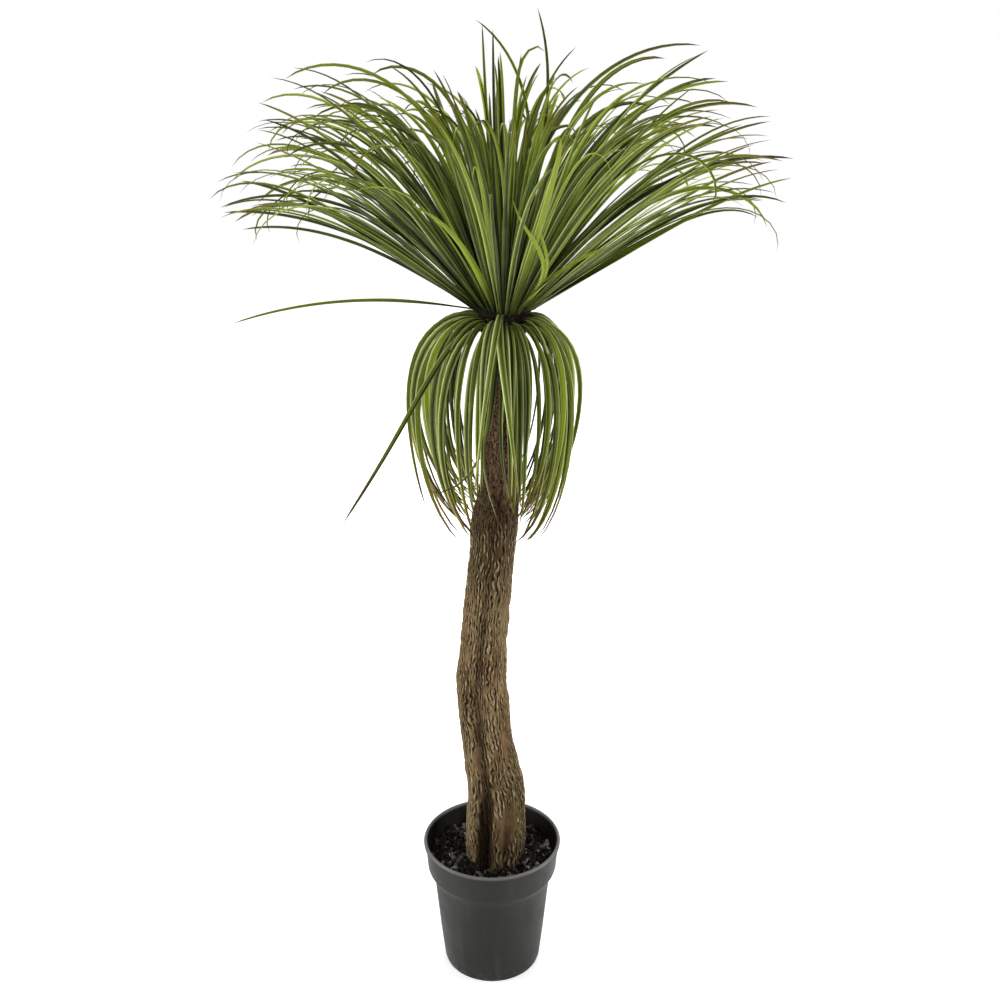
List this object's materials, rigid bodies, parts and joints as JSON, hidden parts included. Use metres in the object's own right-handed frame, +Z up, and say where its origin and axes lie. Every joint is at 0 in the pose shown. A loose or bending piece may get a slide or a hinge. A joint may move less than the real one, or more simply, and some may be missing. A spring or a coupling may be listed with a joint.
{
  "type": "potted ponytail palm",
  "caption": "Potted ponytail palm: a fluted bark trunk with a fountain of long arching leaves over a hanging skirt of older ones, in a round nursery pot.",
  "frame": {"origin": "middle of the pot's underside, on the surface that the pot stands on", "axes": "+Z up along the trunk; the picture looks along +Y with +X to its right, so the stray low leaf points to -X"},
  "size_m": [0.6272, 0.6038, 1.1958],
  "materials": {
    "pot_plastic": "dark grey moulded plastic, satin, with a lighter rim edge",
    "bark_mix": "damp, near-black potting bark in curly chips and crumbs",
    "trunk_bark": "rough grey-brown bark with long dark fissures, fine-pored towards the crown",
    "young_leaf": "leathery green leaf, blue-green at the root and yellow-green at the tip, with a pale middle",
    "old_leaf": "leathery yellow-green leaf with a pale middle stripe and a dry brown tip"
  },
  "bodies": {
    "root": {"pot": "pot_plastic", "bark_mix": "bark_mix", "trunk": "trunk_bark", "fountain_leaves": "young_leaf", "skirt_leaves": "old_leaf"}
  },
  "joints": []
}
